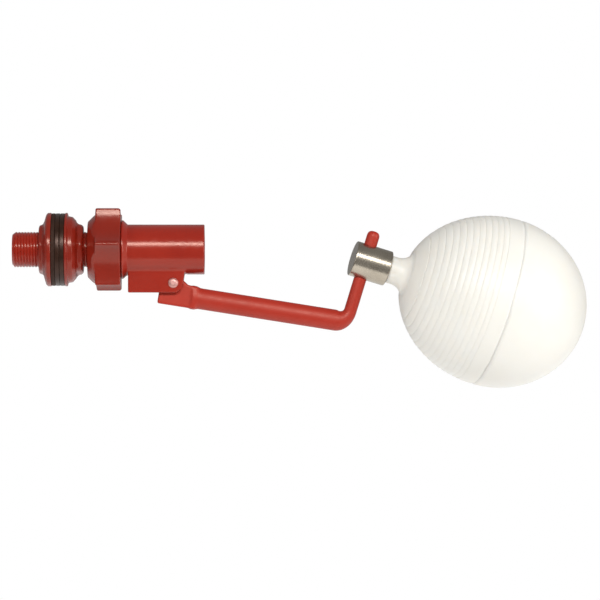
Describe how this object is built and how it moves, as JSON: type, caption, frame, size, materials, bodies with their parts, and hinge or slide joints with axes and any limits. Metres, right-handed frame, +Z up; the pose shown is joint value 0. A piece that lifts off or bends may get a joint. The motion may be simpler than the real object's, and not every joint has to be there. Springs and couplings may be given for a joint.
{
  "type": "float valve",
  "caption": "Float valve for a tank wall: threaded inlet tail, union nut, valve body with a lever-driven plunger, and a hollow float clamped on the bent lever",
  "frame": {"origin": "on the tail's axis, in the plane where the inside of the tank wall meets the inner washer", "axes": "+X along the valve body into the tank, +Z up with the lever hanging below the body, +Y away from the headed side of the pivot pin"},
  "size_m": [0.3493, 0.1043, 0.1091],
  "materials": {
    "red_plastic": "injection-moulded, glossy",
    "arm_plastic": "injection-moulded, glossy, a little brighter",
    "jet_plastic": "natural acetal",
    "black_rubber": "moulded, matt",
    "steel": "turned stainless steel",
    "brass": "turned",
    "float_plastic": "moulded, satin white"
  },
  "bodies": {
    "tail": {"inlet_shank": "red_plastic", "inner_washer": "black_rubber", "inner_nut": "red_plastic", "union_nut": "red_plastic"},
    "wall_washer": {"outer_washer": "black_rubber"},
    "lock_nut": {"lock_nut": "red_plastic"},
    "valve": {"valve_body": "red_plastic", "nozzle": "jet_plastic", "nozzle_o_ring": "black_rubber", "union_gasket": "black_rubber", "pivot_pin": "steel", "pivot_clip": "steel"},
    "plunger": {"plunger": "jet_plastic", "seat_disc": "black_rubber"},
    "lever": {"lever_arm": "arm_plastic"},
    "clamp": {"clamp_collar": "steel"},
    "pad": {"pressure_pad": "jet_plastic"},
    "float": {"float_stud": "brass", "float_neck_half": "float_plastic", "float_far_half": "float_plastic"}
  },
  "joints": [
    {"name": "washer_slide", "type": "slide", "parent": "tail", "child": "wall_washer", "axis": [-1, 0, 0], "range_m": [0, 0.008]},
    {"name": "lock_nut_turn", "type": "hinge", "parent": "wall_washer", "child": "lock_nut", "pos_m": [-0.008, 0, 0], "axis": [-1, 0, 0], "range_deg": [0, 1580]},
    {"name": "valve_swivel", "type": "hinge", "parent": "tail", "child": "valve", "pos_m": [0.0255, 0, 0], "axis": [1, 0, 0], "range_deg": [-180, 180]},
    {"name": "lever_pivot", "type": "hinge", "parent": "valve", "child": "lever", "pos_m": [0.0686, 0, -0.0202], "axis": [0, -1, 0], "range_deg": [-18, 12]},
    {"name": "plunger_slide", "type": "slide", "parent": "valve", "child": "plunger", "axis": [-1, 0, 0], "range_m": [-0.0064, 0.0043]},
    {"name": "clamp_slide", "type": "slide", "parent": "lever", "child": "clamp", "axis": [0.2924, 0, 0.9563], "range_m": [-0.013, 0.007]},
    {"name": "pad_slide", "type": "slide", "parent": "clamp", "child": "pad", "axis": [0.9458, 0.1478, -0.2892], "range_m": [0, 0.003]},
    {"name": "float_turn", "type": "hinge", "parent": "pad", "child": "float", "pos_m": [0.18505, 0, -0.00743], "axis": [0.9458, 0.1478, -0.2892], "range_deg": [0, 700]}
  ],
  "couplings": [
    {"joint": "plunger_slide", "follows": "lever_pivot", "m_per_rad": 0.0202},
    {"joint": "washer_slide", "follows": "lock_nut_turn", "m_per_rad": 0.00028871},
    {"joint": "pad_slide", "follows": "float_turn", "m_per_rad": 0.00023873}
  ]
}
